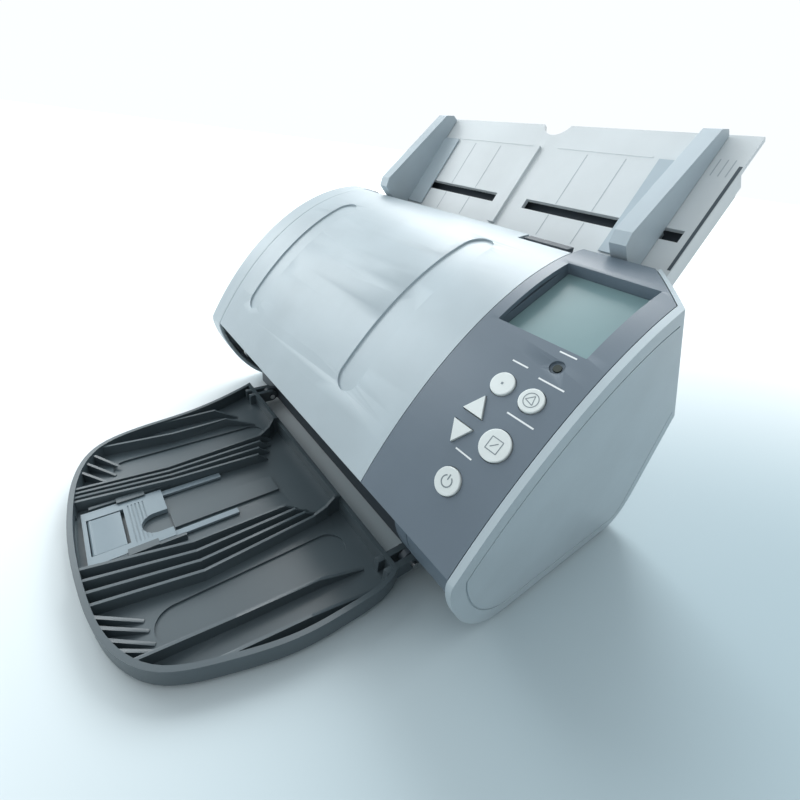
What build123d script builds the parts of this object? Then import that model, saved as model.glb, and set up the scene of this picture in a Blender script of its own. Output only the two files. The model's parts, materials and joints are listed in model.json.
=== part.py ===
"""Sheet fed document scanner, built as separate named pieces.

Frame: +Z up, floor at Z = 0, -Y is the front where paper comes out, +X is the operator's right.
X = 0 and Y = 0 are the middle of the whole object. All sizes are millimetres.
"""
import os
from math import atan2, cos, hypot, pi, radians, sin

from build123d import *

os.makedirs("parts", exist_ok=True)

# ---------------------------------------------------------------- driving dimensions
HALF_WIDTH = 149.3          # half the body's width over both side covers
PATH_X = 3.0                # middle of the paper path
PATH_HALF = 108.5           # half the paper path's width
PATH_LEFT = PATH_X - PATH_HALF
PATH_RIGHT = PATH_X + PATH_HALF
SEAM_X = 83.6               # cover ends here and the operator panel begins
PANEL_RIGHT = 145.7         # right edge of the operator panel
COVER_LEFT = -129.8         # left edge of the opening cover
SKIN = 2.5                  # wall thickness of the mouldings
GAP = 0.4                   # gap between neighbouring mouldings
HINGE = (-20.0, 42.0)       # cover hinge axis in Y, Z
STACKER_HINGE = (-14.0, 9.0)
PLATE = 2.0                 # frame plate thickness
SHAFT_R = 3.0
BORE_R = 3.06
GEAR_X = -123.5             # left face of the gear train
GEAR_WIDTH = 6.0
FOOT_HEIGHT = 3.0

# Outer curve of the cover and panel in Y, Z, from the front lip to the rear edge.
CURVE = [(-38.0, 62.0), (-10.0, 113.0), (36.0, 159.0), (92.0, 165.5)]
CURVE_INWARD = [(0.876, -0.481), (0.82, -0.61), (0.44, -0.92), (0.115, -0.993)]

# Paper path: a straight run that climbs towards the rear at 30 degrees.
PATH_START = (-30.0, 48.0)
PATH_SLOPE = radians(30.0)

# Chute: its plane leans back at this angle, measured from level.
CHUTE_ANGLE = 56.3
CHUTE_ORIGIN = (PATH_X, 130.2, 188.7)
CHUTE_HALF = 118.3
CHUTE_TOP = 42.0
CHUTE_BOTTOM = -46.0
SLOT_S = -13.3
GUIDE_INNER = 94.4
GUIDE_WALL = 9.0
RACK_PITCH_R = 6.0


# ---------------------------------------------------------------- shared geometry
def inset(depth):
    """Control points of the cover curve, moved inwards by depth."""
    moved = []
    for corner, lean in zip(CURVE, CURVE_INWARD):
        moved.append((corner[0] + depth * lean[0], corner[1] + depth * lean[1]))
    return moved


def curve_point(u, curve=CURVE):
    """Point of a four point Bezier curve at parameter u."""
    v = 1.0 - u
    weights = (v**3, 3 * v * v * u, 3 * v * u * u, u**3)
    y = sum(w * p[0] for w, p in zip(weights, curve))
    z = sum(w * p[1] for w, p in zip(weights, curve))
    return y, z


def curve_plane(x, u, lift=0.0):
    """Plane on the outer curve: local Y runs up the curve and local Z points outwards."""
    y, z = curve_point(u)
    ahead = curve_point(u + 0.001)
    behind = curve_point(u - 0.001)
    length = hypot(ahead[0] - behind[0], ahead[1] - behind[1])
    ty = (ahead[0] - behind[0]) / length
    tz = (ahead[1] - behind[1]) / length
    origin = (x, y - lift * tz, z + lift * ty)
    return Plane(origin=origin, x_dir=(1, 0, 0), z_dir=(0, -tz, ty))


def path_point(s, lift=0.0):
    """Y, Z of a place s along the straight paper path, lifted off it at right angles."""
    y = PATH_START[0] + s * cos(PATH_SLOPE) - lift * sin(PATH_SLOPE)
    z = PATH_START[1] + s * sin(PATH_SLOPE) + lift * cos(PATH_SLOPE)
    return y, z


def path_box(s0, s1, lift0, lift1):
    """Four corners, in Y, Z, of a box that lies along the paper path."""
    return [path_point(s0, lift0), path_point(s1, lift0), path_point(s1, lift1), path_point(s0, lift1)]


def side_sketch_plane(x):
    """Plane whose local X is world Y and local Y is world Z, facing +X."""
    return Plane.YZ.offset(x)


def chute_plane(lift=0.0):
    """Plane of the chute: local Y runs up the chute, local Z faces the paper."""
    a = radians(CHUTE_ANGLE)
    x, y, z = CHUTE_ORIGIN
    return Plane(origin=(x, y - lift * sin(a), z + lift * cos(a)), x_dir=(1, 0, 0), z_dir=(0, -sin(a), cos(a)))


def gear_points(teeth, phase):
    """Outline of a module 1 gear with trapezoid teeth, thinned for backlash."""
    pitch = teeth / 2.0
    points = []
    for index in range(teeth):
        middle = phase + 2 * pi * index / teeth
        for radius, half in ((pitch - 1.25, 1.05), (pitch + 0.8, 0.36)):
            points.append((radius, middle - half / pitch))
        for radius, half in ((pitch + 0.8, 0.36), (pitch - 1.25, 1.05)):
            points.append((radius, middle + half / pitch))
    return [(r * cos(a), r * sin(a)) for r, a in points]


def meshed_phase(teeth_a, phase_a, centre_a, teeth_b, centre_b):
    """Phase of gear b that puts its gap over the tooth of gear a where they meet."""
    theta = atan2(centre_b[1] - centre_a[1], centre_b[0] - centre_a[0])
    return theta + pi + pi / teeth_b - (phase_a - theta) * teeth_a / teeth_b


def bar_x(x0, x1, centre, radius, mode=Mode.ADD):
    """A round bar along X, added to the part that is being built."""
    with BuildSketch(side_sketch_plane(x0)) as section:
        with Locations(centre):
            Circle(radius)
    extrude(section.sketch, amount=x1 - x0, mode=mode)


def prism_x(x0, x1, points, mode=Mode.ADD):
    """A bar along X with a straight sided section, added to the part that is being built."""
    with BuildSketch(side_sketch_plane(x0)) as section:
        Polygon(*points, align=None)
    extrude(section.sketch, amount=x1 - x0, mode=mode)


ROLLER_R = 8.0
LOWER = -(ROLLER_R + 0.2)
UPPER = ROLLER_R + 0.2
PICK_S, FEED_S, LARGE_S, EXIT_S = 100.0, 70.0, 44.0, 18.0
PICK = path_point(PICK_S, LOWER)
FEED = path_point(FEED_S, LOWER)
EXIT = path_point(EXIT_S, LOWER)
SMALL_IDLER = path_point((PICK_S + FEED_S) / 2, LOWER)
LARGE_IDLER = path_point(LARGE_S, LOWER)
MOTOR_AT = (LARGE_IDLER[0] - 4.4, LARGE_IDLER[1] - 21.556)
BRAKE = path_point(PICK_S, UPPER)
FEED_TOP = path_point(FEED_S, UPPER)
EXIT_TOP = path_point(EXIT_S, UPPER)
FEED_PHASE = PATH_SLOPE

TYRE_X = (-58.0, -20.0, 18.0, 56.0)     # left ends of the tyres, measured from the path's middle
TYRE_WIDTH = 10.0


# ---------------------------------------------------------------- base mouldings
with BuildPart() as base_tray:
    with BuildSketch(Plane.XY.offset(FOOT_HEIGHT)):
        with Locations((7.95, 59.75)):
            RectangleRounded(274.7, 134.5, 4.0)
    extrude(amount=14.0)
    with BuildSketch(Plane.XY.offset(FOOT_HEIGHT + SKIN)):
        with Locations((7.95, 59.75)):
            Rectangle(269.7, 129.5)
    extrude(amount=14.0, mode=Mode.SUBTRACT)
    # clear the corner where the dark front piece goes
    with Locations((127.0, 1.0, 10.0)):
        Box(41.0, 24.0, 16.0, mode=Mode.SUBTRACT)
    # two pairs of ears that carry the stacker pins
    for x in (-97.0, 97.0):
        with BuildSketch(side_sketch_plane(PATH_X + x - 2.0)):
            with Locations(STACKER_HINGE):
                Circle(5.0)
            with Locations((STACKER_HINGE[0] + 4.5, STACKER_HINGE[1])):
                Rectangle(9.0, 10.0)
            with Locations(STACKER_HINGE):
                Circle(2.0, mode=Mode.SUBTRACT)
        extrude(amount=4.0)
base_tray.part.label = "base_tray"

CORNER_CURVE = [(-34.5, 58.6), (-32.0, 40.0), (-16.0, 12.0), (8.0, 4.0)]


BODY_CURVES = [
    CURVE,
    [(92.0, 165.5), (112.0, 167.8), (118.0, 152.0), (127.0, 124.0)],
    [(127.0, 124.0), (130.2, 114.0), (131.0, 100.0), (131.0, 90.0)],
    [(131.0, 90.0), (131.0, 70.0), (131.0, 50.0), (131.0, 30.0)],
    [(131.0, 30.0), (131.0, 12.0), (126.0, 3.0), (112.0, 3.0)],
    [(112.0, 3.0), (78.0, 3.0), (45.0, 3.0), (12.0, 3.0)],
    [(12.0, 3.0), (-20.0, 3.0), (-42.0, 54.7), (-38.0, 62.0)],
]
STEPS = 24


def drawn_in(outline, depth):
    """Points of a clockwise closed outline moved inwards by depth, without the ones that cross over."""
    moved = []
    count = len(outline)
    for index, (y, z) in enumerate(outline):
        before = outline[index - 1]
        after = outline[(index + 1) % count]
        length = hypot(after[0] - before[0], after[1] - before[1])
        place = (y + depth * (after[1] - before[1]) / length, z - depth * (after[0] - before[0]) / length)
        nearest = min(hypot(place[0] - q[0], place[1] - q[1]) for q in outline)
        if nearest > depth - 0.01:
            moved.append(place)
    return moved


def body_points(depth=0.0):
    """The body's side outline in Y, Z, drawn in by depth."""
    outline = []
    for curve in BODY_CURVES:
        outline += [curve_point(step / STEPS, curve) for step in range(STEPS)]
    return drawn_in(outline, depth) if depth > 0 else outline


def body_side(x):
    """The body's side as a face at x, with true curves."""
    with BuildSketch(side_sketch_plane(x)) as outline:
        with BuildLine():
            for curve in BODY_CURVES:
                Bezier(*curve)
        make_face()
    return outline.sketch


CORNER_PLANE = Plane(origin=(HALF_WIDTH, 59.0, 164.0), z_dir=(0.718, 0.507, 0.476))
CORNER_SKIN = 1.9
SHOULDER_X = 123.5


def corner_block(depth, height):
    """A block standing on the slanting plane of the right rear corner, from depth outwards by height."""
    with BuildSketch(CORNER_PLANE.offset(depth)) as outline:
        Rectangle(400.0, 400.0)
    return extrude(outline.sketch, amount=height, mode=Mode.PRIVATE)


def corner_plate():
    """The slanting plate that closes the right rear corner."""
    with BuildPart() as plate:
        extrude(body_side(SHOULDER_X), amount=HALF_WIDTH - SHOULDER_X)
        add(corner_block(-CORNER_SKIN, CORNER_SKIN), mode=Mode.INTERSECT)
    return plate.part


with BuildPart() as right_side_cover:
    extrude(body_side(PANEL_RIGHT + 0.3), amount=HALF_WIDTH - PANEL_RIGHT - 0.3)
    # shallow parting groove round the flat of the side
    prism_x(HALF_WIDTH - 0.6, HALF_WIDTH + 1.0, body_points(8.0), Mode.SUBTRACT)
    prism_x(HALF_WIDTH - 1.0, HALF_WIDTH, body_points(8.9))
    add(corner_block(0.0, 120.0), mode=Mode.SUBTRACT)
    add(corner_plate())
right_side_cover.part.label = "right_side_cover"

with BuildPart() as left_side_cover:
    extrude(body_side(-HALF_WIDTH), amount=HALF_WIDTH + COVER_LEFT - GAP)
    prism_x(-HALF_WIDTH + SKIN, 0.0, body_points(SKIN + 0.6), Mode.SUBTRACT)
left_side_cover.part.label = "left_side_cover"

with BuildPart() as lower_front_corner:
    with BuildSketch(side_sketch_plane(107.0)):
        with BuildLine():
            inner = [(y + 2.4, z + 0.8) for y, z in CORNER_CURVE]
            Bezier(*CORNER_CURVE)
            Line(CORNER_CURVE[3], inner[3])
            Bezier(*reversed(inner))
            Line(inner[0], CORNER_CURVE[0])
        make_face()
    extrude(amount=PANEL_RIGHT - 107.0)
    # the lower left corner is cut away towards the right
    with BuildSketch(Plane.XZ.offset(40.0)):
        Polygon((106.0, 46.0), (110.0, 34.0), (117.0, 20.0), (127.0, 12.5), (134.0, 8.0), (134.0, 0.0),
                (100.0, 0.0), (100.0, 46.0), align=None)
    extrude(amount=-60.0, mode=Mode.SUBTRACT)
    # the panel's hinge arm swings through this slot
    with Locations((111.4, -30.0, 47.0)):
        Box(9.2, 30.0, 31.0, mode=Mode.SUBTRACT)
lower_front_corner.part.label = "lower_front_corner"

SHOULDER = [(92.9, 165.3), (99.0, 165.2), (105.0, 162.4), (110.5, 156.9), (114.8, 149.8), (119.4, 142.6),
            (117.2, 141.6), (112.8, 148.3), (108.6, 155.2), (103.7, 160.2), (98.4, 162.7), (92.9, 162.8)]

with BuildPart() as rear_cover:
    prism_x(-129.4, PANEL_RIGHT, [(129.3, 17.0), (129.3, 106.0), (126.4, 125.0), (122.6, 135.5), (119.4, 142.6),
                                  (117.2, 141.6), (120.3, 134.6), (123.9, 124.4), (126.8, 106.0), (126.8, 17.0)])
    # shoulders beside the chute close the body over to the opening cover
    for x0, x1 in ((-129.4, -119.0), (SHOULDER_X, PANEL_RIGHT)):
        prism_x(x0, x1, SHOULDER)
    with Locations((-60.0, 128.0, 40.0), (-20.0, 128.0, 40.0)):
        Box(13.0, 8.0, 13.0, mode=Mode.SUBTRACT)
    for column in range(12):
        with Locations((40.0 + 6.0 * column, 128.0, 60.0)):
            Box(2.4, 8.0, 30.0, mode=Mode.SUBTRACT)
    add(corner_block(-CORNER_SKIN - GAP, 120.0), mode=Mode.SUBTRACT)
rear_cover.part.label = "rear_cover"

with BuildPart() as front_bezel:
    prism_x(-129.4, 106.5, [(-7.5, 17.0), (-14.0, 24.0), (-14.0, 38.0), (-11.8, 38.0), (-11.8, 25.0), (-5.0, 17.0)])
    with Locations((-112.0, -13.0, 34.0)):
        Box(2.6, 4.0, 24.0, mode=Mode.SUBTRACT)
front_bezel.part.label = "front_bezel"

FRAME_OUTLINE = [(-22.0, 36.5), (-24.0, 46.0), path_point(7.0, -3.0), path_point(98.0, -3.0), (76.0, 96.0),
                 (88.0, 84.0), (88.0, 5.5), (14.0, 5.5), (14.0, 20.0), (-8.0, 30.0)]


def frame_plate(x):
    """A steel side plate with bearing holes for the three lower shafts."""
    prism_x(x, x + PLATE, FRAME_OUTLINE)
    bar_x(x, x + PLATE, HINGE, 6.0)
    for centre in (PICK, FEED, EXIT):
        bar_x(x, x + PLATE, centre, BORE_R, Mode.SUBTRACT)
    bar_x(x, x + PLATE, HINGE, SHAFT_R, Mode.SUBTRACT)
    bar_x(x, x + PLATE, (60.0, 40.0), 12.0, Mode.SUBTRACT)


with BuildPart() as left_frame_plate:
    frame_plate(-113.0)
    # stub axles for the two idler gears, and the motor's shaft hole
    bar_x(-124.5, -113.0, SMALL_IDLER, SHAFT_R)
    bar_x(-124.5, -113.0, LARGE_IDLER, SHAFT_R)
    bar_x(-113.0, -111.0, MOTOR_AT, 6.5, Mode.SUBTRACT)
left_frame_plate.part.label = "left_frame_plate"

with BuildPart() as right_frame_plate:
    frame_plate(117.0)
right_frame_plate.part.label = "right_frame_plate"

with BuildPart() as cover_hinge_pins:
    bar_x(-113.5, -105.5, HINGE, SHAFT_R)
    bar_x(112.0, 119.5, HINGE, SHAFT_R)
cover_hinge_pins.part.label = "cover_hinge_pins"

with BuildPart() as stacker_hinge_pins:
    for x in (-97.0, 97.0):
        bar_x(PATH_X + x - 7.5, PATH_X + x + 7.5, STACKER_HINGE, 2.0)
stacker_hinge_pins.part.label = "stacker_hinge_pins"

# ---------------------------------------------------------------- lower paper path
GUIDE_LOWER = [path_point(1.0, -1.2), path_point(104.0, -1.2), (75.0, 110.5), (82.0, 119.0), (100.2, 146.3)]


def band(points, thickness):
    """Closed outline of a bent strip: the points, and the same points moved down and back."""
    below = [(y + thickness * 0.62, z - thickness * 0.79) for y, z in points]
    return points + below[::-1]


with BuildPart() as lower_paper_guide:
    prism_x(PATH_LEFT, PATH_RIGHT, band(GUIDE_LOWER, 2.2))
    for centre in (PICK, FEED, EXIT):
        for x in TYRE_X:
            bar_x(PATH_X + x - 1.2, PATH_X + x + TYRE_WIDTH + 1.2, centre, ROLLER_R + 1.2, Mode.SUBTRACT)
    prism_x(PATH_LEFT + 4.0, PATH_RIGHT - 4.0, path_box(36.0, 52.0, -8.0, 2.0), Mode.SUBTRACT)
    # room for the panel's hinge arm at the front right corner
    with Locations((109.6, -27.0, 48.0)):
        Box(6.0, 17.0, 20.0, mode=Mode.SUBTRACT)
lower_paper_guide.part.label = "lower_paper_guide"

with BuildPart() as lower_scan_glass:
    prism_x(PATH_LEFT + 4.2, PATH_RIGHT - 4.2, path_box(36.3, 51.7, -3.6, -1.4))
lower_scan_glass.part.label = "lower_scan_glass"

with BuildPart() as lower_image_sensor:
    prism_x(PATH_LEFT, PATH_RIGHT, path_box(36.3, 51.7, -14.0, -3.7))
    prism_x(PATH_LEFT + 6.0, PATH_RIGHT - 6.0, path_box(42.0, 46.0, -8.0, -3.0), Mode.SUBTRACT)
lower_image_sensor.part.label = "lower_image_sensor"


def tyres(centre, bore):
    """Four rubber tyres on one shaft."""
    for x in TYRE_X:
        bar_x(PATH_X + x, PATH_X + x + TYRE_WIDTH, centre, ROLLER_R)
        bar_x(PATH_X + x, PATH_X + x + TYRE_WIDTH, centre, bore, Mode.SUBTRACT)


with BuildPart() as pick_shaft:
    bar_x(GEAR_X - 0.5, 121.0, PICK, SHAFT_R)
pick_shaft.part.label = "pick_shaft"

with BuildPart() as pick_tyres:
    tyres(PICK, SHAFT_R)
pick_tyres.part.label = "pick_tyres"

with BuildPart() as feed_shaft:
    bar_x(GEAR_X - 0.5, 121.0, FEED, SHAFT_R)
feed_shaft.part.label = "feed_shaft"

with BuildPart() as feed_tyres:
    tyres(FEED, SHAFT_R)
feed_tyres.part.label = "feed_tyres"

with BuildPart() as exit_shaft:
    bar_x(GEAR_X - 0.5, 121.0, EXIT, SHAFT_R)
exit_shaft.part.label = "exit_shaft"

with BuildPart() as exit_tyres:
    tyres(EXIT, SHAFT_R)
exit_tyres.part.label = "exit_tyres"

# ---------------------------------------------------------------- gear train
LARGE_PHASE = meshed_phase(18, FEED_PHASE, FEED, 34, LARGE_IDLER)
EXIT_PHASE = meshed_phase(34, LARGE_PHASE, LARGE_IDLER, 18, EXIT)
MOTOR_PHASE = meshed_phase(34, LARGE_PHASE, LARGE_IDLER, 10, MOTOR_AT)
SMALL_PHASE = meshed_phase(18, FEED_PHASE, FEED, 12, SMALL_IDLER)
PICK_PHASE = meshed_phase(12, SMALL_PHASE, SMALL_IDLER, 18, PICK)


def gear(teeth, phase, centre, bore):
    """One spur gear of the train."""
    points = [(centre[0] + y, centre[1] + z) for y, z in gear_points(teeth, phase)]
    prism_x(GEAR_X, GEAR_X + GEAR_WIDTH, points)
    bar_x(GEAR_X, GEAR_X + GEAR_WIDTH, centre, bore, Mode.SUBTRACT)


with BuildPart() as pick_gear:
    gear(18, PICK_PHASE, PICK, SHAFT_R)
pick_gear.part.label = "pick_gear"

with BuildPart() as feed_gear:
    gear(18, FEED_PHASE, FEED, SHAFT_R)
feed_gear.part.label = "feed_gear"

with BuildPart() as exit_gear:
    gear(18, EXIT_PHASE, EXIT, SHAFT_R)
exit_gear.part.label = "exit_gear"

with BuildPart() as small_idler_gear:
    gear(12, SMALL_PHASE, SMALL_IDLER, BORE_R)
small_idler_gear.part.label = "small_idler_gear"

with BuildPart() as large_idler_gear:
    gear(34, LARGE_PHASE, LARGE_IDLER, BORE_R)
large_idler_gear.part.label = "large_idler_gear"

with BuildPart() as motor_pinion:
    gear(10, MOTOR_PHASE, MOTOR_AT, 1.5)
    bar_x(GEAR_X - 0.5, -106.0, MOTOR_AT, 1.5)
motor_pinion.part.label = "motor_pinion"

with BuildPart() as feed_motor:
    bar_x(-110.9, -82.0, MOTOR_AT, 12.0)
    bar_x(-110.9, -104.9, MOTOR_AT, 1.6, Mode.SUBTRACT)
feed_motor.part.label = "feed_motor"

# ---------------------------------------------------------------- electrics and small fixed pieces
with BuildPart() as main_board:
    with BuildSketch(Plane.XY.offset(22.0)):
        with Locations((10.0, 104.0)):
            Rectangle(150.0, 42.0)
    extrude(amount=1.6)
    with Locations((-20.0, 100.0, 25.1), (30.0, 108.0, 25.1)):
        Box(16.0, 16.0, 3.0)
main_board.part.label = "main_board"

with BuildPart() as power_inlet:
    with Locations((-60.0, 121.4, 40.0)):
        Box(12.4, 14.6, 12.4)
    with BuildSketch(Plane.XZ.offset(-128.7)):
        with Locations((-60.0, 40.0)):
            Circle(4.6)
            Circle(1.0, mode=Mode.SUBTRACT)
    extrude(amount=10.0, mode=Mode.SUBTRACT)
power_inlet.part.label = "power_inlet"

with BuildPart() as data_socket:
    with Locations((-20.0, 121.4, 40.0)):
        Box(12.4, 14.6, 12.4)
    with Locations((-20.0, 124.7, 40.0)):
        Box(9.0, 8.4, 8.0, mode=Mode.SUBTRACT)
    with Locations((-20.0, 124.5, 40.6)):
        Box(5.6, 8.0, 3.0)
data_socket.part.label = "data_socket"

with BuildPart() as rubber_feet:
    with BuildSketch(Plane.XY):
        with Locations((-118.0, 6.0), (132.0, 22.0), (-118.0, 112.0), (132.0, 112.0)):
            Circle(6.0)
    extrude(amount=FOOT_HEIGHT)
rubber_feet.part.label = "rubber_feet"

with BuildPart() as case_screws:
    for x, y in ((-96.0, 20.0), (104.0, 20.0), (-96.0, 112.0), (104.0, 112.0)):
        with BuildSketch(Plane.XY.offset(FOOT_HEIGHT + SKIN)):
            with Locations((x, y)):
                Circle(3.2)
        extrude(amount=2.2)
case_screws.part.label = "case_screws"

# ---------------------------------------------------------------- cover unit, opens on the front hinge
def curve_band(x, outer, inner):
    """Strip between two insets of the cover curve, as a face at x."""
    top = inset(outer)
    under = inset(inner)
    with BuildSketch(side_sketch_plane(x)) as outline:
        with BuildLine():
            Bezier(*top)
            Line(top[3], under[3])
            Bezier(*reversed(under))
            Line(under[0], top[0])
        make_face()
    return outline.sketch


def parameter_at(y):
    """Curve parameter where the cover curve reaches y."""
    low, high = 0.0, 1.0
    for _ in range(40):
        middle = (low + high) / 2
        if curve_point(middle)[0] < y:
            low = middle
        else:
            high = middle
    return low


def dimple(x, length, y, z):
    """A long shallow hollow that follows the cover curve."""
    with BuildPart() as hollow:
        extrude(curve_band(x - 9.0, -0.6, 1.3), amount=18.0)
        with BuildSketch(Plane(origin=(x, y, z), x_dir=(0, 0.770, 0.638), z_dir=(0, -0.638, 0.770))) as slot:
            SlotOverall(length, 18.0)
        extrude(slot.sketch, amount=60.0, both=True, mode=Mode.INTERSECT)
    return hollow.part


LEVER_PIVOT = (88.0, 146.0)

with BuildPart() as top_cover:
    extrude(curve_band(COVER_LEFT, 0.0, SKIN), amount=SEAM_X - COVER_LEFT)
    prism_x(COVER_LEFT, SEAM_X, [(92.0, 165.5), (92.3, 157.0), (89.8, 157.0), (89.5, 164.0)])
    prism_x(COVER_LEFT, SEAM_X, [(-37.0, 63.5), (-36.2, 61.6), (-27.0, 66.5), (-28.0, 69.0)])
    with Locations((66.0, 88.0, 164.0)):
        Box(35.2, 12.0, 20.0, mode=Mode.SUBTRACT)
    # two cheeks and a pin that carry the opening lever
    prism_x(46.0, 48.0, [(80.0, 161.0), (80.0, 142.0), (91.8, 142.0), (91.8, 161.5)])
    prism_x(81.0, 83.0, [(79.0, 159.5), (79.0, 142.0), (91.8, 142.0), (91.8, 154.0), (82.0, 154.0), (82.0, 159.5)])
    bar_x(46.0, 83.0, LEVER_PIVOT, 1.5)
    add(dimple(38.0, 120.0, 24.6, 121.5), mode=Mode.SUBTRACT)
    add(dimple(-94.5, 112.0, 21.5, 119.0), mode=Mode.SUBTRACT)
top_cover.part.label = "top_cover"

DISPLAY_TILT = radians(27.5)
DISPLAY_CENTRE = (113.4, 48.5, 150.4)


def display_plane(lift=0.0):
    """Plane across the mouth of the display recess: local Y runs up the panel."""
    x, y, z = DISPLAY_CENTRE
    up = (0, -sin(DISPLAY_TILT), cos(DISPLAY_TILT))
    return Plane(origin=(x, y + lift * up[1], z + lift * up[2]), x_dir=(1, 0, 0), z_dir=up)


def plate_on(plane, width, height, thickness, mode=Mode.ADD, corner=0.5):
    """A rounded plate on a plane, growing along its normal."""
    with BuildSketch(plane) as outline:
        RectangleRounded(width, height, corner)
    extrude(outline.sketch, amount=thickness, mode=mode)


# Buttons: X, place along the curve as Y, and radius. The two arrow keys are triangles.
ROUND_BUTTONS = {
    "menu_button": (116.0, 6.8, 5.3),
    "stop_button": (130.8, 6.8, 5.3),
    "scan_button": (130.5, -8.5, 6.85),
    "power_button": (122.9, -22.5, 6.1),
}
ARROW_BUTTONS = {
    "up_button": (113.6, -2.6, [(-5.2, -3.6), (5.2, -3.6), (0.0, 5.4)]),
    "down_button": (113.4, -10.9, [(-5.2, 3.4), (5.2, 3.4), (0.0, -5.6)]),
}
BUTTON_GAP = 0.3


def grown(points, by):
    """Triangle points moved out from their middle."""
    return [(x * (1 + by / 3.0), y * (1 + by / 3.0)) for x, y in points]


def disc_on(plane, radius, thickness, mode=Mode.ADD):
    """A round plate on a plane, growing along its normal."""
    with BuildSketch(plane * Rot(0, 0, 37)) as outline:
        Circle(radius)
    extrude(outline.sketch, amount=thickness, mode=mode)


def wedge_on(plane, points, thickness, mode=Mode.ADD):
    """A plate with straight sides on a plane, growing along its normal."""
    with BuildSketch(plane) as outline:
        Polygon(*points, align=None)
    extrude(outline.sketch, amount=thickness, mode=mode)


PANEL_ARM_X = (107.0, 115.6)
PANEL_ARM = [(-25.0, 33.4), (-28.6, 40.1), (-31.4, 46.5), (-33.2, 52.4), (-34.5, 58.6), (-36.5, 62.2), (-33.0, 66.5),
             path_point(7.5, 13.5), path_point(7.5, 1.2), (-15.5, 45.5), (-20.0, 42.0), (-20.0, 37.0)]

with BuildPart() as operator_panel:
    extrude(curve_band(SEAM_X + GAP, 0.0, SKIN), amount=PANEL_RIGHT - SEAM_X - GAP)
    extrude(curve_band(PANEL_RIGHT - SKIN, SKIN / 2, 12.0), amount=SKIN)
    prism_x(SEAM_X + GAP, PANEL_RIGHT, [(92.0, 165.5), (92.3, 157.0), (89.8, 157.0), (89.5, 164.0)])
    prism_x(SEAM_X + GAP, 107.0, [(-37.0, 63.5), (-36.2, 61.6), (-27.0, 66.5), (-28.0, 69.0)])
    # keep the side wall's foot inside the lip's sweep
    bar_x(142.0, 147.0, HINGE, 23.5, Mode.SUBTRACT)
    # right hinge arm, flush with the fixed corner in front of it
    prism_x(*PANEL_ARM_X, PANEL_ARM)
    bar_x(*PANEL_ARM_X, HINGE, 6.0)
    bar_x(*PANEL_ARM_X, HINGE, BORE_R, Mode.SUBTRACT)
    plate_on(display_plane(-10.0), 49.0, 53.0, 7.6)
    plate_on(display_plane(-8.0), 45.6, 49.6, 20.0, Mode.SUBTRACT)
    plate_on(display_plane(-11.0), 40.0, 42.0, 6.0, Mode.SUBTRACT)
    for x, y, radius in ROUND_BUTTONS.values():
        disc_on(curve_plane(x, parameter_at(y), -4.0), radius + BUTTON_GAP, 8.0, Mode.SUBTRACT)
    for x, y, points in ARROW_BUTTONS.values():
        wedge_on(curve_plane(x, parameter_at(y), -4.0), grown(points, BUTTON_GAP), 8.0, Mode.SUBTRACT)
    disc_on(curve_plane(129.4, parameter_at(19.8), -1.2), 3.2, 4.0, Mode.SUBTRACT)
    disc_on(curve_plane(129.4, parameter_at(19.8), -2.1), 1.9, 4.0, Mode.SUBTRACT)
    add(corner_block(-CORNER_SKIN - GAP, 120.0), mode=Mode.SUBTRACT)
operator_panel.part.label = "operator_panel"

with BuildPart() as display_window:
    plate_on(display_plane(-7.9), 45.2, 49.2, 1.0)
display_window.part.label = "display_window"

with BuildPart() as display_module:
    plate_on(display_plane(-14.0), 39.4, 41.4, 5.8)
display_module.part.label = "display_module"

with BuildPart() as panel_board:
    board = Plane(origin=(118.0, -0.5, 96.5), x_dir=(1, 0, 0), z_dir=(0, -0.771, 0.637))
    plate_on(board, 42.0, 56.0, 1.6)
panel_board.part.label = "panel_board"

with BuildPart() as check_lamp:
    disc_on(curve_plane(129.4, parameter_at(19.8), -2.1), 1.7, 1.5)
check_lamp.part.label = "check_lamp"


def round_button(x, y, radius):
    """A push button: cap, stop flange under the panel skin and a short stem."""
    u = parameter_at(y)
    with BuildPart() as button:
        disc_on(curve_plane(x, u, -4.6), radius, 5.8)
        disc_on(curve_plane(x, u, -4.6), radius + 0.9, 1.2)
        disc_on(curve_plane(x, u, -6.0), 1.5, 1.6)
        fillet(button.faces().sort_by_distance(curve_plane(x, u, 40.0).origin)[0].edges(), 0.5)
    return button


def arrow_button(x, y, points):
    """A three sided push button."""
    u = parameter_at(y)
    with BuildPart() as button:
        wedge_on(curve_plane(x, u, -4.6), points, 5.8)
        wedge_on(curve_plane(x, u, -4.6), grown(points, 1.0), 1.2)
        disc_on(curve_plane(x, u, -6.0), 1.5, 1.6)
    return button


menu_button = round_button(*ROUND_BUTTONS["menu_button"])
menu_button.part.label = "menu_button"
stop_button = round_button(*ROUND_BUTTONS["stop_button"])
stop_button.part.label = "stop_button"
scan_button = round_button(*ROUND_BUTTONS["scan_button"])
scan_button.part.label = "scan_button"
power_button = round_button(*ROUND_BUTTONS["power_button"])
power_button.part.label = "power_button"
up_button = arrow_button(*ARROW_BUTTONS["up_button"])
up_button.part.label = "up_button"
down_button = arrow_button(*ARROW_BUTTONS["down_button"])
down_button.part.label = "down_button"

RAIL_LEFT = (-109.5, -107.0)
RAIL_RIGHT = (113.0, 115.5)
IDLER_SHAFT_R = 2.5
ARM = [(-26.0, 42.0), (-14.0, 42.0), (-15.5, 52.0), path_point(14.0, 3.4), path_point(14.0, 10.0),
       path_point(5.0, 10.0), (-28.5, 52.0)]

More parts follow.
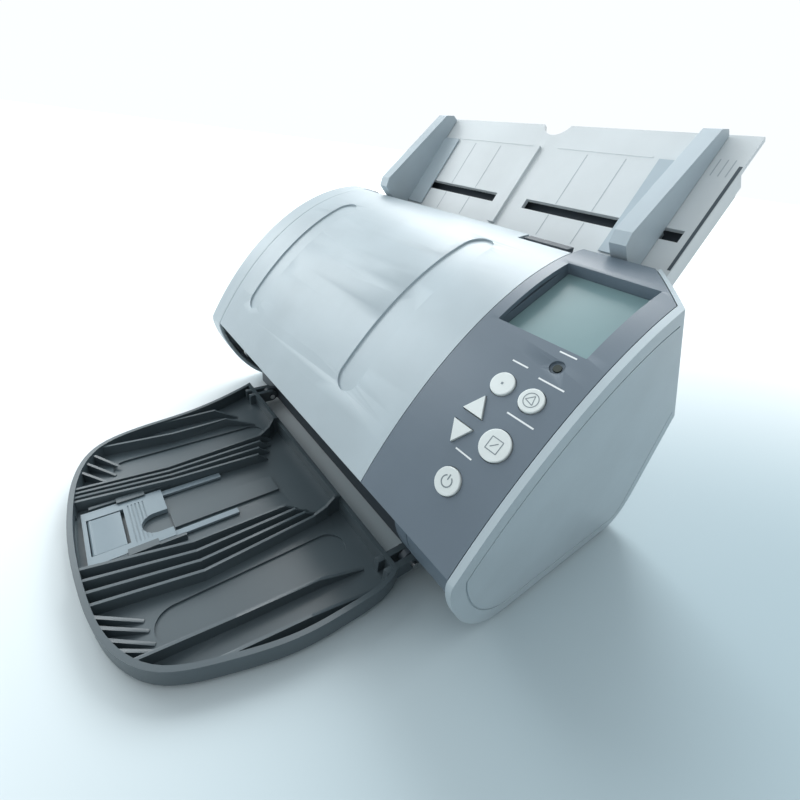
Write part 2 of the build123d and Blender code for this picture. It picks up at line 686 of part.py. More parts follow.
with BuildPart() as upper_frame:
    prism_x(RAIL_LEFT[0], RAIL_RIGHT[1], path_box(8.0, 107.0, 1.2, 3.4))
    for rail in (RAIL_LEFT, RAIL_RIGHT):
        prism_x(rail[0], rail[1], path_box(8.0, 107.0, 3.4, 13.5))
    prism_x(RAIL_LEFT[0], RAIL_LEFT[1], ARM)
    bar_x(RAIL_LEFT[0], RAIL_LEFT[1], HINGE, 6.0)
    bar_x(RAIL_LEFT[0], RAIL_LEFT[1], HINGE, BORE_R, Mode.SUBTRACT)
    for x in (-72.0, 62.0):
        prism_x(x, x + 3.0, [path_point(54.0, 3.4), path_point(60.0, 3.4), (3.0, 108.0), (-4.5, 104.0)])
    for centre in (BRAKE, FEED_TOP, EXIT_TOP):
        bar_x(RAIL_LEFT[0] - 1.0, RAIL_RIGHT[1] + 1.0, centre, IDLER_SHAFT_R + 0.06, Mode.SUBTRACT)
        for x in TYRE_X:
            bar_x(PATH_X + x - 1.2, PATH_X + x + TYRE_WIDTH + 1.2, centre, ROLLER_R + 1.2, Mode.SUBTRACT)
    prism_x(PATH_LEFT + 4.0, PATH_RIGHT - 4.0, path_box(36.0, 52.0, 0.0, 8.0), Mode.SUBTRACT)
upper_frame.part.label = "upper_frame"

with BuildPart() as upper_scan_glass:
    prism_x(PATH_LEFT + 4.2, PATH_RIGHT - 4.2, path_box(36.3, 51.7, 1.4, 3.6))
upper_scan_glass.part.label = "upper_scan_glass"

with BuildPart() as upper_image_sensor:
    prism_x(PATH_LEFT, PATH_RIGHT, path_box(36.3, 51.7, 3.7, 14.0))
    prism_x(PATH_LEFT + 6.0, PATH_RIGHT - 6.0, path_box(42.0, 46.0, 3.0, 8.0), Mode.SUBTRACT)
upper_image_sensor.part.label = "upper_image_sensor"


def idler(centre):
    """An upper roller: a thin shaft with four tyres."""
    with BuildPart() as roller:
        bar_x(RAIL_LEFT[0] + 0.3, RAIL_RIGHT[1] - 0.3, centre, IDLER_SHAFT_R)
        for x in TYRE_X:
            bar_x(PATH_X + x, PATH_X + x + TYRE_WIDTH, centre, ROLLER_R)
    return roller


brake_roller = idler(BRAKE)
brake_roller.part.label = "brake_roller"
feed_idler = idler(FEED_TOP)
feed_idler.part.label = "feed_idler"
exit_idler = idler(EXIT_TOP)
exit_idler.part.label = "exit_idler"

with BuildPart() as cover_lever:
    prism_x(50.0, 79.0, [(85.4, 158.0), (91.4, 158.6), (91.4, 165.2), (85.4, 164.4)])
    prism_x(56.0, 73.0, [(86.6, 146.0), (89.4, 146.0), (89.4, 158.4), (86.6, 158.4)])
    bar_x(56.0, 73.0, LEVER_PIVOT, 3.2)
    bar_x(56.0, 73.0, LEVER_PIVOT, 1.56, Mode.SUBTRACT)
cover_lever.part.label = "cover_lever"

# ---------------------------------------------------------------- chute at the rear
def chute_box(x0, x1, s0, s1, lift0, lift1, mode=Mode.ADD):
    """A box given in the chute's own directions, measured from the paper path's middle."""
    with BuildSketch(chute_plane(lift0)) as outline:
        with Locations(((x0 + x1) / 2, (s0 + s1) / 2)):
            Rectangle(x1 - x0, s1 - s0)
    extrude(outline.sketch, amount=lift1 - lift0, mode=mode)


SLOT_INNER, SLOT_OUTER, SLOT_HALF_HEIGHT = 12.8, 112.5, 3.25

with BuildPart() as chute_tray:
    chute_box(-CHUTE_HALF, CHUTE_HALF, CHUTE_BOTTOM, CHUTE_TOP, -3.0, 0.0)
    for side in (-1, 1):
        x0, x1 = sorted((side * (CHUTE_HALF - 2.2), side * CHUTE_HALF))
        chute_box(x0, x1, CHUTE_BOTTOM, 24.0, -12.0, 0.0)
        x0, x1 = sorted((side * SLOT_INNER, side * SLOT_OUTER))
        chute_box(x0, x1, SLOT_S - SLOT_HALF_HEIGHT, SLOT_S + SLOT_HALF_HEIGHT, -4.0, 1.0, Mode.SUBTRACT)
    chute_box(-5.4, -0.4, -31.0, 25.5, 0.0, 2.2)
    disc_on(chute_plane(-3.5) * Location((1.4, 46.0, 0.0)), 11.0, 4.5, Mode.SUBTRACT)
    disc_on(chute_plane(-7.6) * Location((0.0, SLOT_S, 0.0)), 2.0, 4.8)
chute_tray.part.label = "chute_tray"

with BuildPart() as chute_back:
    chute_box(-CHUTE_HALF, CHUTE_HALF, CHUTE_BOTTOM, 20.0, -14.0, -12.0)
chute_back.part.label = "chute_back"

with BuildPart() as chute_extension:
    chute_box(-115.0, 115.0, -42.0, 35.0, -9.8, -8.2)
    for x0, x1 in ((-50.0, -24.0), (27.0, 55.0)):
        chute_box(x0, x1, 31.0, 35.0, -8.2, -3.3)
        chute_box(x0, x1, 31.0, 43.1, -4.7, -3.3)
chute_extension.part.label = "chute_extension"


def rack_points(side, start, finish):
    """Outline of a rack in X and S. side is +1 above the pinion and -1 below it."""
    line = SLOT_S + side * RACK_PITCH_R
    root = line + side * 1.25
    tip = line - side * 0.8
    points = [(start, line + side * 4.6), (start, root)]
    index = int(start / pi) + 1
    while (index + 1.2) * pi < finish:
        middle = (index + 0.5) * pi
        points += [(middle - 1.05, root), (middle - 0.36, tip), (middle + 0.36, tip), (middle + 1.05, root)]
        index += 1
    points += [(finish, root), (finish, line + side * 4.6)]
    return points


def side_guide(side):
    """A paper guide with its flange, post and rack. side is -1 on the left and +1 on the right."""
    inner = side * GUIDE_INNER
    wall_x = min(inner, inner + side * GUIDE_WALL)
    profile = [(-34.0, 0.4), (-39.5, 13.0), (-37.0, 25.5), (-31.0, 27.5), (36.0, 11.0), (41.0, 5.0), (41.0, 0.4)]
    with BuildPart() as guide:
        plane = chute_plane()
        lengthways = Plane(origin=plane.origin + Vector(wall_x, 0, 0), x_dir=plane.y_dir, z_dir=(1, 0, 0))
        with BuildSketch(lengthways) as outline:
            Polygon(*profile, align=None)
        extrude(outline.sketch, amount=GUIDE_WALL)
        x0, x1 = sorted((inner, inner - side * 16.0))
        chute_box(x0, x1, -31.0, 25.0, 0.4, 1.6)
        post = side * (GUIDE_INNER + 4.6)
        chute_box(post - 2.5, post + 2.5, SLOT_S - 2.9, SLOT_S + 2.9, -7.0, 0.5)
        if side < 0:
            chute_box(post - 2.5, post + 2.5, SLOT_S - 2.9, SLOT_S + 10.6, -7.0, -3.4)
            teeth = rack_points(1, post - 2.5, 18.0)
        else:
            chute_box(post - 2.5, post + 2.5, SLOT_S - 10.6, SLOT_S + 2.9, -7.0, -3.4)
            teeth = rack_points(-1, -18.0, post + 2.5)
        wedge_on(chute_plane(-7.0), teeth, 3.6)
    return guide


left_guide = side_guide(-1)
left_guide.part.label = "left_guide"
right_guide = side_guide(1)
right_guide.part.label = "right_guide"

with BuildPart() as guide_pinion:
    wedge_on(chute_plane(-7.0) * Location((0.0, SLOT_S, 0.0)), gear_points(12, pi / 2), 3.4)
    disc_on(chute_plane(-7.0) * Location((0.0, SLOT_S, 0.0)), 2.06, 3.4, Mode.SUBTRACT)
guide_pinion.part.label = "guide_pinion"

# ---------------------------------------------------------------- stacker at the front
STACKER_RIM = [(106.0, -25.0), (109.5, -32.0), (112.0, -55.0), (111.0, -82.0), (103.0, -113.0), (92.0, -136.0),
               (71.0, -150.0), (40.0, -156.3), (5.0, -158.0), (-24.0, -156.0), (-50.0, -150.5), (-71.0, -138.0),
               (-80.0, -119.0), (-87.0, -80.0), (-97.0, -50.0), (-109.0, -25.0)]
FLOOR_TOP = 5.4
RIM_TOP = 14.0
RIB = 1.6


def stacker_face(outline, z):
    """A closed outline seen from above, as a face at z."""
    with BuildSketch(Plane.XY.offset(z)) as face:
        Polygon(*outline, align=None)
    return face.sketch


def rounded_outline(corners):
    """Points along a smooth line through the corners, closed by one straight edge at the back."""
    line = Spline(*[(x, y, 0) for x, y in corners])
    places = [line @ (index / 90) for index in range(91)]
    return [(place.X, place.Y) for place in places]


def rib_along(points):
    """An upright rib through X, Y, top places, standing on the tray floor."""
    for (x0, y0, top0), (x1, y1, top1) in zip(points, points[1:]):
        length = hypot(x1 - x0, y1 - y0)
        ahead = Vector((x1 - x0) / length, (y1 - y0) / length, 0)
        with BuildSketch(Plane(origin=(x0, y0, 0), x_dir=ahead, z_dir=(ahead.Y, -ahead.X, 0))) as side:
            Polygon((-0.5, 4.0), (length + 0.5, 4.0), (length + 0.5, top1), (-0.5, top0), align=None)
        extrude(side.sketch, amount=RIB / 2, both=True)


STACKER_OUTLINE = rounded_outline(STACKER_RIM)
STACKER_INSIDE = drawn_in(STACKER_OUTLINE, 2.6)

with BuildPart() as stacker_tray:
    extrude(stacker_face(STACKER_OUTLINE, 3.0), amount=RIM_TOP - 3.0)
    extrude(stacker_face(STACKER_INSIDE, FLOOR_TOP), amount=RIM_TOP, mode=Mode.SUBTRACT)
    # two bundles of long ribs beside the pull-out slide
    for index in range(4):
        t = index / 3
        left_top = 13.2 - 0.6 * t
        rib_along([(-35.0 + 10.0 * t, -152.0 - 1.5 * t, left_top), (-31.0 + 12.0 * t, -105.0, left_top),
                   (-36.0 + 19.0 * t, -44.0 - 9.0 * t, left_top), (-36.5 + 19.5 * t, -36.0 - 11.0 * t, 6.2)])
        rib_along([(25.0 + 22.0 * t, -154.5 + 1.5 * t, left_top), (35.0 + 20.0 * t, -107.0, left_top),
                   (35.5 + 15.5 * t, -57.0 + 12.0 * t, left_top), (35.5 + 14.5 * t, -49.0 + 14.0 * t, 6.2)])
    rib_along([(-36.0, -44.0, 13.2), (-40.0, -36.0, 15.0), (-45.0, -30.5, 18.0), (-45.5, -27.0, 17.0)])
    rib_along([(51.0, -45.0, 13.2), (50.0, -37.0, 15.0), (48.0, -30.5, 18.0), (48.0, -27.0, 17.0)])
    # long ribs outside the hollows
    rib_along([(-71.0, -136.5, 12.6), (-66.0, -95.0, 12.6), (-68.0, -58.0, 12.0), (-60.0, -40.0, 6.0)])
    rib_along([(-82.0, -106.0, 12.6), (-82.0, -62.0, 12.6), (-75.0, -48.0, 6.0)])
    rib_along([(82.0, -143.0, 12.6), (86.0, -102.0, 12.6), (89.0, -62.0, 12.0), (92.0, -38.0, 6.0)])
    rib_along([(99.5, -119.0, 12.6), (104.0, -74.0, 12.6), (106.0, -38.0, 6.0)])
    # short fins between the front rim and the hollows
    for start, end in (((-66.0, -141.5), (-54.0, -129.0)), ((-59.0, -145.5), (-47.0, -132.5)),
                       ((-51.0, -148.5), (-40.5, -136.0)), ((54.0, -152.0), (62.0, -136.0)),
                       ((60.5, -150.5), (68.0, -135.0)), ((68.0, -148.5), (75.5, -134.0)),
                       ((75.0, -145.5), (80.5, -132.0))):
        rib_along([(start[0], start[1], 12.6), (end[0], end[1], 6.0)])
    # long shallow hollows in the floor
    for x, width in ((-51.5, 16.0), (70.5, 20.0)):
        with BuildSketch(Plane.XY.offset(FLOOR_TOP - 1.2)) as hollow:
            with Locations((x, -85.0)):
                SlotOverall(96.0, width, rotation=90)
        extrude(hollow.sketch, amount=2.0, mode=Mode.SUBTRACT)
    # raised strip between the slide's rails, and the bars at the back edge
    with Locations((8.0, -82.0, 6.1)):
        Box(14.0, 60.0, 1.8)
    for x0, x1 in ((-88.0, -56.0), (-18.0, 38.0), (58.0, 105.0)):
        bar_x(x0, x1, (-25.4, 7.2), 2.2)
    # keepers over the slide's edges
    for x in (-19.4, 24.4):
        with Locations((x, -128.0, 7.2)):
            Box(2.0, 40.0, 4.6)
        with Locations((x + (1.2 if x < 0 else -1.2), -128.0, 9.6)):
            Box(4.4, 14.0, 1.0)
    for lug in (-98.1, -89.9, 95.9, 104.1):
        prism_x(lug - 1.8, lug + 1.8, [(-14.0, 13.4), (-32.0, 13.4), (-32.0, 4.6), (-14.0, 4.6)])
        bar_x(lug - 1.8, lug + 1.8, STACKER_HINGE, 4.4)
        bar_x(lug - 2.0, lug + 2.0, STACKER_HINGE, 2.06, Mode.SUBTRACT)
    # mouth for the pull-out slide in the front wall
    with Locations((2.5, -157.0, 7.6)):
        Box(40.6, 9.0, 4.0, mode=Mode.SUBTRACT)
    # front resting strip under the tray
    with Locations((2.5, -138.0, 1.5)):
        Box(120.0, 8.0, 3.0)
stacker_tray.part.label = "stacker_tray"

STOPPER_HINGE = (-148.5, 7.3)

with BuildPart() as stacker_extension:
    with BuildSketch(Plane.XY.offset(5.8)):
        with Locations((2.5, -132.3)):
            Rectangle(39.6, 39.4)
        with Locations((8.0, -112.6)):
            SlotOverall(28.0, 15.0, rotation=90, mode=Mode.SUBTRACT)
    extrude(amount=3.0)
    for x in (-14.9, 19.9):
        with Locations((x, -97.0, 6.6)):
            Box(4.0, 36.0, 1.6)
    with Locations((2.5, -141.5, 7.3)):
        Box(27.0, 17.2, 6.0, mode=Mode.SUBTRACT)
    bar_x(-12.0, 17.0, STOPPER_HINGE, 1.0)
    for groove in range(5):
        with Locations((2.5, -128.0 + 1.8 * groove - 2.4, 8.8)):
            Box(30.0, 0.6, 0.8, mode=Mode.SUBTRACT)
stacker_extension.part.label = "stacker_extension"

with BuildPart() as stacker_stopper:
    with Locations((2.5, -141.5, 7.3)):
        Box(26.0, 14.0, 2.2)
    bar_x(-10.5, 15.5, STOPPER_HINGE, 1.3)
    bar_x(-11.0, 16.0, STOPPER_HINGE, 1.06, Mode.SUBTRACT)
stacker_stopper.part.label = "stacker_stopper"

PARTS = [
    base_tray, right_side_cover, left_side_cover, lower_front_corner, rear_cover, front_bezel, left_frame_plate,
    right_frame_plate, cover_hinge_pins, stacker_hinge_pins, lower_paper_guide, lower_scan_glass,
    lower_image_sensor, pick_shaft, pick_tyres, feed_shaft, feed_tyres, exit_shaft, exit_tyres, pick_gear,
    feed_gear, exit_gear, small_idler_gear, large_idler_gear, motor_pinion, feed_motor, main_board, power_inlet,
    data_socket, rubber_feet, case_screws, top_cover, operator_panel, display_window, display_module, panel_board,
    check_lamp, menu_button, stop_button, scan_button, power_button, up_button, down_button, upper_frame,
    upper_scan_glass, upper_image_sensor, brake_roller, feed_idler, exit_idler, cover_lever, chute_tray,
    chute_back, chute_extension, left_guide, right_guide, guide_pinion, stacker_tray, stacker_extension,
    stacker_stopper,
]
for piece in PARTS:
    export_step(piece.part, f"parts/{piece.part.label}.step")
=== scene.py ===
"""Looks for the sheet fed document scanner: materials, small details, light and camera."""
import json
from math import cos, hypot, pi, radians, sin

import bmesh
import bpy
from mathutils import Matrix, Vector


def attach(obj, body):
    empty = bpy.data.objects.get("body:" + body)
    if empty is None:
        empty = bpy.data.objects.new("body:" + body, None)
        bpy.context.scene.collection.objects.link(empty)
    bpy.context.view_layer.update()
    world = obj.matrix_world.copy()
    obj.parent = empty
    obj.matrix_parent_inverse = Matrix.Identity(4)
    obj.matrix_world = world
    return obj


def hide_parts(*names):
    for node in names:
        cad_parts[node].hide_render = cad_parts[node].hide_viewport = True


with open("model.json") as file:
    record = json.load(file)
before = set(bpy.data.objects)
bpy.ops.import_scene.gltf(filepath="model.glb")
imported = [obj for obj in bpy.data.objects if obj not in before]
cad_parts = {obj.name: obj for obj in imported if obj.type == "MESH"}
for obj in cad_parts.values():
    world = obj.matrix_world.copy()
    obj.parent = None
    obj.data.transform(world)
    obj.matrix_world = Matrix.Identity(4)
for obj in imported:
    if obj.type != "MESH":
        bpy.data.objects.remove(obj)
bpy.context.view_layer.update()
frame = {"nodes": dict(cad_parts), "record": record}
NODE_BODY = {}
for body, members in frame["record"]["behaviour"]["bodies"].items():
    for member in members:
        NODE_BODY[member] = body
SLOT_OF = {entry["node"]: entry["material_slot"] for entry in frame["record"]["subparts"]}


# ---------------------------------------------------------------- materials
def linear(red, green, blue):
    """8 bit display colour to linear."""
    out = []
    for value in (red, green, blue):
        value = value / 255
        out.append(value / 12.92 if value <= 0.04045 else ((value + 0.055) / 1.055) ** 2.4)
    return (*out, 1.0)


def plastic(name, colour, dark=0.93, light=1.05, rough=0.42, grain=1800.0, bump=0.08, spread=0.12, coat=0.0,
            metal=0.0, spec=0.5):
    """Moulded surface: fine grain in the bump and the roughness, slow mottling in colour."""
    material = bpy.data.materials.new(name)
    material.use_nodes = True
    nodes = material.node_tree.nodes
    links = material.node_tree.links
    shader = nodes["Principled BSDF"]
    shader.inputs["Metallic"].default_value = metal
    shader.inputs["Specular IOR Level"].default_value = spec
    shader.inputs["Coat Weight"].default_value = coat
    shader.inputs["Coat Roughness"].default_value = 0.15
    place = nodes.new("ShaderNodeTexCoord")
    slow = nodes.new("ShaderNodeTexNoise")
    slow.inputs["Scale"].default_value = 22.0
    slow.inputs["Detail"].default_value = 6.0
    links.new(place.outputs["Object"], slow.inputs["Vector"])
    fine = nodes.new("ShaderNodeTexNoise")
    fine.inputs["Scale"].default_value = grain
    fine.inputs["Detail"].default_value = 2.0
    links.new(place.outputs["Object"], fine.inputs["Vector"])
    ramp = nodes.new("ShaderNodeValToRGB")
    ramp.color_ramp.elements[0].position = 0.3
    ramp.color_ramp.elements[1].position = 0.7
    ramp.color_ramp.elements[0].color = tuple([c * dark for c in colour[:3]] + [1.0])
    ramp.color_ramp.elements[1].color = tuple([min(1.0, c * light) for c in colour[:3]] + [1.0])
    links.new(slow.outputs["Fac"], ramp.inputs["Fac"])
    links.new(ramp.outputs["Color"], shader.inputs["Base Color"])
    span = nodes.new("ShaderNodeMapRange")
    span.inputs["To Min"].default_value = max(0.02, rough - spread / 2)
    span.inputs["To Max"].default_value = rough + spread / 2
    links.new(fine.outputs["Fac"], span.inputs["Value"])
    links.new(span.outputs["Result"], shader.inputs["Roughness"])
    relief = nodes.new("ShaderNodeBump")
    relief.inputs["Strength"].default_value = bump
    relief.inputs["Distance"].default_value = 0.0002
    links.new(fine.outputs["Fac"], relief.inputs["Height"])
    links.new(relief.outputs["Normal"], shader.inputs["Normal"])
    return material


MATERIALS = {
    "dark_plastic": plastic("dark_plastic", linear(62, 72, 80), rough=0.5),
    "panel_plastic": plastic("panel_plastic", linear(98, 112, 124), rough=0.40, bump=0.12),
    "light_plastic": plastic("light_plastic", linear(172, 186, 193), rough=0.40, bump=0.06),
    "chute_plastic": plastic("chute_plastic", linear(214, 221, 224), rough=0.45),
    "guide_plastic": plastic("guide_plastic", linear(178, 192, 200), rough=0.42),
    "stacker_plastic": plastic("stacker_plastic", linear(74, 86, 92), rough=0.36, bump=0.05),
    "slide_plastic": plastic("slide_plastic", linear(122, 138, 147), rough=0.36, bump=0.05),
    "button_plastic": plastic("button_plastic", linear(214, 222, 222), rough=0.32, bump=0.03, coat=0.15),
    "display_glass": plastic("display_glass", linear(120, 148, 152), rough=0.3, bump=0.0, spread=0.04,
                             spec=0.25),
    "lamp_lens": plastic("lamp_lens", linear(52, 60, 56), rough=0.2, bump=0.02),
    "scan_glass": plastic("scan_glass", linear(120, 140, 140), rough=0.06, bump=0.0, spread=0.02, coat=0.5),
    "frame_steel": plastic("frame_steel", linear(168, 170, 172), rough=0.36, metal=1.0, bump=0.15),
    "shaft_steel": plastic("shaft_steel", linear(186, 187, 188), rough=0.24, metal=1.0, bump=0.05),
    "gear_plastic": plastic("gear_plastic", linear(226, 222, 208), rough=0.45),
    "roller_rubber": plastic("roller_rubber", linear(44, 45, 46), rough=0.75, bump=0.25),
    "circuit_board": plastic("circuit_board", linear(40, 96, 62), rough=0.35, dark=0.7, light=1.2),
}
INK = plastic("dark_marking", linear(120, 132, 138), rough=0.5)
# the darker edge colour is painted shade for the gap along the chute's right edge
EDGE_SHADE = plastic("painted_edge_shade", linear(72, 84, 92), rough=0.5)
PALE_INK = plastic("pale_marking", linear(226, 232, 234), rough=0.5)
LINE_INK = plastic("line_marking", linear(176, 186, 192), rough=0.5)


def dress(piece, name):
    """Gives a piece one of the record's finishes."""
    piece.data.materials.clear()
    piece.data.materials.append(MATERIALS[name])


for node_name, node in frame["nodes"].items():
    dress(node, SLOT_OF[node_name])


# ---------------------------------------------------------------- rounded copies of the CAD shells
def rounded(node_name, width, segments=2, angle=32.0):
    """Stands a copy of a CAD node in for it, with its sharp edges rounded by width in millimetres."""
    source = frame["nodes"][node_name]
    mesh = bpy.data.meshes.new(node_name + "_rounded")
    work = bmesh.new()
    work.from_mesh(source.data)
    bmesh.ops.remove_doubles(work, verts=work.verts, dist=2e-6)
    bmesh.ops.dissolve_limit(work, angle_limit=radians(1.0), verts=work.verts, edges=work.edges,
                             delimit={"SHARP"})
    for face in work.faces:
        face.smooth = True
    work.to_mesh(mesh)
    work.free()
    mesh.set_sharp_from_angle(angle=radians(angle))
    piece = bpy.data.objects.new(node_name + "_skin", mesh)
    bpy.context.scene.collection.objects.link(piece)
    dress(piece, SLOT_OF[node_name])
    bevel = piece.modifiers.new("edge", "BEVEL")
    bevel.width = width / 1000
    bevel.segments = segments
    bevel.limit_method = "ANGLE"
    bevel.angle_limit = radians(angle)
    bevel.use_clamp_overlap = True
    bevel.harden_normals = True
    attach(piece, NODE_BODY[node_name])
    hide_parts(node_name)
    return piece


for node_name, width in (
    ("top_cover", 0.7), ("operator_panel", 0.6), ("right_side_cover", 0.8), ("left_side_cover", 1.0),
    ("lower_front_corner", 0.5), ("rear_cover", 0.6), ("left_guide", 2.6), ("right_guide", 2.6),
    ("chute_tray", 0.6), ("stacker_tray", 0.5), ("stacker_extension", 0.3), ("stacker_stopper", 0.3),
    ("chute_extension", 0.4), ("cover_lever", 0.4), ("base_tray", 0.5), ("front_bezel", 0.4),
    ("chute_back", 0.5),
):
    rounded(node_name, width)


# ---------------------------------------------------------------- markings and small raised details
CURVE = [(-38.0, 62.0), (-10.0, 113.0), (36.0, 159.0), (92.0, 165.5)]


def curve_frame(x, y, lift=0.0):
    """Origin and two directions, in millimetres, on the cover's outer curve at x and y."""
    low, high = 0.0, 1.0
    for _ in range(40):
        u = (low + high) / 2
        v = 1 - u
        weights = (v**3, 3 * v * v * u, 3 * v * u * u, u**3)
        if sum(w * p[0] for w, p in zip(weights, CURVE)) < y:
            low = u
        else:
            high = u
    slope = (3 * v * v, 6 * v * u, 3 * u * u)
    steps = [(b[0] - a[0], b[1] - a[1]) for a, b in zip(CURVE, CURVE[1:])]
    ty = sum(w * p[0] for w, p in zip(slope, steps))
    tz = sum(w * p[1] for w, p in zip(slope, steps))
    size = hypot(ty, tz)
    up = Vector((0, ty / size, tz / size))
    out = Vector((0, -up.z, up.y))
    z = sum(w * p[1] for w, p in zip(weights, CURVE))
    return Vector((x, y, z)) + out * lift, Vector((1, 0, 0)), up


def chute_frame(x, s, lift=0.0):
    """Origin and two directions, in millimetres, on the chute: x from the path's middle, s up the chute."""
    a = radians(56.3)
    up = Vector((0, cos(a), sin(a)))
    out = Vector((0, -sin(a), cos(a)))
    return Vector((3.0 + x, 130.2, 188.7)) + up * s + out * lift, Vector((1, 0, 0)), up


def add_box(work, corner, along, across, length, width, height):
    """A small flat box in a bmesh, all in millimetres."""
    out = along.cross(across)
    places = []
    for k in (0, 1):
        for i, j in ((0, -1), (1, -1), (1, 1), (0, 1)):
            place = corner + along * length * i + across * width * j / 2 + out * height * k
            places.append(work.verts.new(place / 1000))
    a, b, c, d, e, f, g, h = places
    for face in ((a, d, c, b), (e, f, g, h), (a, b, f, e), (b, c, g, f), (c, d, h, g), (d, a, e, h)):
        work.faces.new(face)


def strokes(name, place, lines, width, height, material, body):
    """Raised strokes along lines drawn in a frame's own two directions."""
    origin, right, up = place
    work = bmesh.new()
    for line in lines:
        for (x0, y0), (x1, y1) in zip(line, line[1:]):
            start = origin + right * x0 + up * y0
            step = right * (x1 - x0) + up * (y1 - y0)
            along = step.normalized()
            across = right.cross(up).cross(along)
            add_box(work, start, along, across, step.length, width, height)
    bmesh.ops.recalc_face_normals(work, faces=work.faces)
    mesh = bpy.data.meshes.new(name)
    work.to_mesh(mesh)
    work.free()
    piece = bpy.data.objects.new(name, mesh)
    bpy.context.scene.collection.objects.link(piece)
    mesh.materials.append(material)
    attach(piece, body)
    return piece


def ring(radius, start=0.0, turn=360.0, steps=32, middle=(0.0, 0.0)):
    """Points round an arc."""
    return [(middle[0] + radius * cos(radians(start + turn * i / steps)),
             middle[1] + radius * sin(radians(start + turn * i / steps))) for i in range(steps + 1)]


CAP = 1.22
triangle = ring(2.3, -45.0, steps=3)
square = ring(3.9, 45.0, steps=4)
strokes("menu_icon", curve_frame(116.0, 6.8, CAP), [[(-0.5, 0.0), (0.5, 0.0)]], 1.0, 0.06, INK,
        "menu")
strokes("stop_icon", curve_frame(130.8, 6.8, CAP), [ring(3.1), triangle], 0.35, 0.06, INK,
        "stop")
strokes("scan_icon", curve_frame(130.5, -8.5, CAP), [square, [(-1.3, -1.3), (1.3, 1.3)]], 0.38, 0.06, INK,
        "scan")
strokes("power_icon", curve_frame(122.9, -22.5, CAP), [ring(2.5, 120.0, 300.0, 28), [(0, 0.6), (0, 3.2)]],
        0.55, 0.06, INK, "power")
# plain dashes where the captions would be
for name, x, y, length in (("menu_dash", 111.8, 15.2, 8.0), ("stop_dash", 126.4, 14.0, 12.0),
                           ("scan_dash", 125.6, 0.6, 13.0), ("power_dash", 116.8, -14.9, 9.0),
                           ("check_dash", 125.4, 25.2, 8.0)):
    strokes(name, curve_frame(x, y), [[(0, 0), (length, 0)]], 0.7, 0.05, PALE_INK, "cover")
# chute: moulded lines and size marks, and painted shade along the right edge
SLOT_LOW, SLOT_HIGH = -17.0, -9.6
lines = []
for x in (-60.0, -35.0, 35.0, 60.0):
    lines += [[(x, -31.0), (x, SLOT_LOW)], [(x, SLOT_HIGH), (x, 24.0)]]
strokes("chute_lines", chute_frame(0.0, 0.0), lines, 0.5, 0.12, LINE_INK, "base")
lines = [[(-80.0, 26.6), (-8.0, 26.6)], [(12.0, 26.6), (74.0, 26.6)]]
strokes("chute_step", chute_frame(0.0, 0.0), lines, 1.0, 0.25, MATERIALS["chute_plastic"],
        "base")
MARKS = ((88.0, 24.0), (91.5, 22.0), (106.5, 20.0), (110.0, 20.0), (113.4, 20.0))
lines = [[(x, low), (x, 29.0)] for x, low in MARKS]
strokes("chute_marks", chute_frame(0.0, 0.0), lines, 0.5, 0.12, LINE_INK, "base")
# a dark stroke along the chute's right edge: painted shade of the gap between the tray and its outer rim
strokes("chute_edge", chute_frame(0.0, 0.0), [[(117.0, -31.0), (117.0, 26.0)]], 1.6, 0.12, EDGE_SHADE,
        "base")

# ---------------------------------------------------------------- camera, light and ground
def camera():
    """Wide lens close above the front right corner."""
    data = bpy.data.cameras.new("camera")
    data.lens = 18.606
    data.sensor_width = 36.0
    data.clip_start = 0.01
    view = bpy.data.objects.new("camera", data)
    right = Vector((0.5966726, 0.79453924, 0.11264633))
    down = Vector((0.47675927, -0.23806212, -0.8461838))
    ahead = Vector((-0.64550941, 0.55859987, -0.52084909))
    turn = Matrix((right, -down, -ahead)).transposed().to_4x4()
    view.matrix_world = Matrix.Translation((0.204149, -0.124264, 0.200574)) @ turn
    bpy.context.scene.collection.objects.link(view)
    bpy.context.scene.camera = view


def area(name, place, target, size, power, colour):
    """A soft rectangular light aimed at target."""
    data = bpy.data.lights.new(name, "AREA")
    data.shape = "RECTANGLE"
    data.size, data.size_y = size
    data.energy = power
    data.color = colour
    lamp = bpy.data.objects.new(name, data)
    lamp.location = place
    lamp.rotation_euler = (Vector(target) - Vector(place)).to_track_quat("-Z", "Y").to_euler()
    bpy.context.scene.collection.objects.link(lamp)


def gradient(tree, place, start, end, low, high):
    """A slow change of value along a measure of place."""
    span = tree.nodes.new("ShaderNodeMapRange")
    span.interpolation_type = "SMOOTHSTEP"
    for name, value in (("From Min", start), ("From Max", end), ("To Min", low), ("To Max", high)):
        span.inputs[name].default_value = value
    tree.links.new(place, span.inputs["Value"])
    return span.outputs["Result"]


def measure(tree, coordinates, operation, point):
    """Distance from a point, or the share along a direction, of a texture coordinate."""
    step = tree.nodes.new("ShaderNodeVectorMath")
    step.operation = operation
    step.inputs[1].default_value = point
    tree.links.new(tree.nodes.new("ShaderNodeTexCoord").outputs[coordinates], step.inputs[0])
    return step.outputs["Value"]


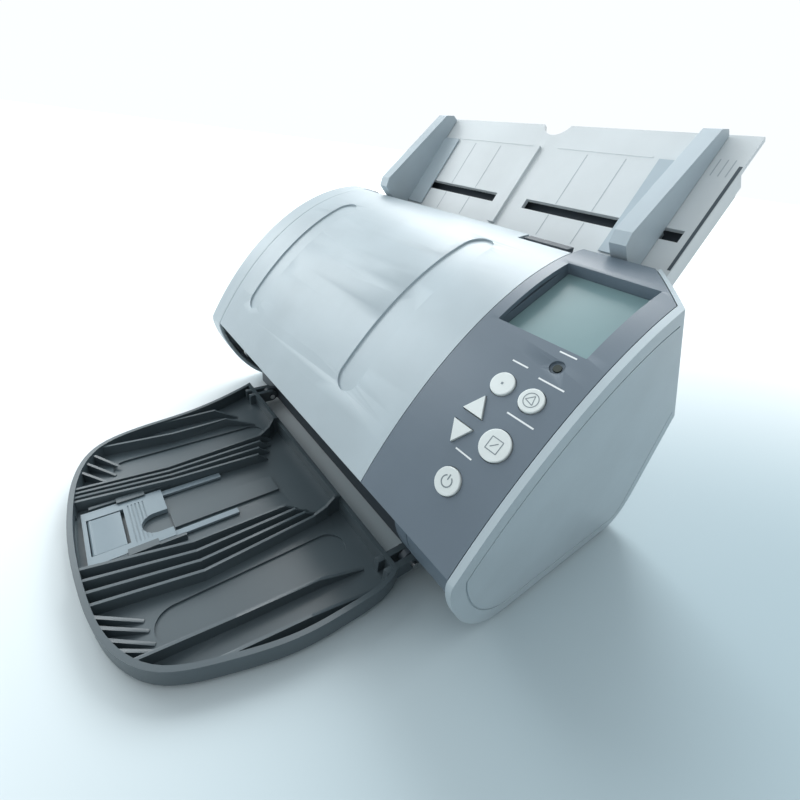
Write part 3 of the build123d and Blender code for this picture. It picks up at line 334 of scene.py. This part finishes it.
def ground():
    """A large floor with painted bluish shadow beside the object and white further off."""
    mesh = bpy.data.meshes.new("floor")
    mesh.from_pydata([(-20, -20, 0), (20, -20, 0), (20, 20, 0), (-20, 20, 0)], [], [(0, 1, 2, 3)])
    piece = bpy.data.objects.new("floor", mesh)
    bpy.context.scene.collection.objects.link(piece)
    material = plastic("floor", linear(222, 232, 236), dark=0.99, light=1.01, rough=0.6, bump=0.0)
    tree = material.node_tree
    away = measure(tree, "Object", "DISTANCE", (0.40, 0.10, 0.0))
    # painted shadow: the floor is bluish grey near a point beside the object and fades to white further off
    mix = tree.nodes.new("ShaderNodeMix")
    mix.data_type = "RGBA"
    tree.links.new(gradient(tree, away, 0.15, 0.75, 0.0, 1.0), mix.inputs["Factor"])
    mix.inputs["A"].default_value = linear(170, 190, 198)
    mix.inputs["B"].default_value = linear(246, 250, 251)
    tree.links.new(mix.outputs["Result"], tree.nodes["Principled BSDF"].inputs["Base Color"])
    # far off, where the lamps don't reach, the floor glows like the surroundings
    shader = tree.nodes["Principled BSDF"]
    shader.inputs["Emission Color"].default_value = linear(246, 250, 251)
    tree.links.new(gradient(tree, away, 0.9, 2.6, 0.0, 0.75), shader.inputs["Emission Strength"])
    mesh.materials.append(material)


camera()
ground()
area("key", (-0.9, 0.9, 1.3), (0.0, 0.0, 0.1), (1.0, 1.0), 21.0, (0.97, 0.99, 1.0))
area("left", (-1.2, -0.5, 0.9), (0.0, 0.0, 0.05), (0.8, 0.8), 8.0, (0.95, 0.99, 1.0))
area("front", (0.2, -1.3, 0.9), (0.0, 0.0, 0.1), (0.9, 0.9), 2.5, (0.92, 0.97, 1.0))
# the surroundings are brightest behind the object on the left
world = bpy.data.worlds.new("world")
world.use_nodes = True
sky = world.node_tree
sky.nodes["Background"].inputs["Color"].default_value = (0.93, 0.97, 0.99, 1.0)
towards = measure(sky, "Generated", "DOT_PRODUCT", (-0.72, 0.62, 0.30))
sky.links.new(gradient(sky, towards, -0.6, 0.6, 0.38, 1.05), sky.nodes["Background"].inputs["Strength"])
bpy.context.scene.world = world
bpy.context.scene.view_settings.view_transform = "Standard"
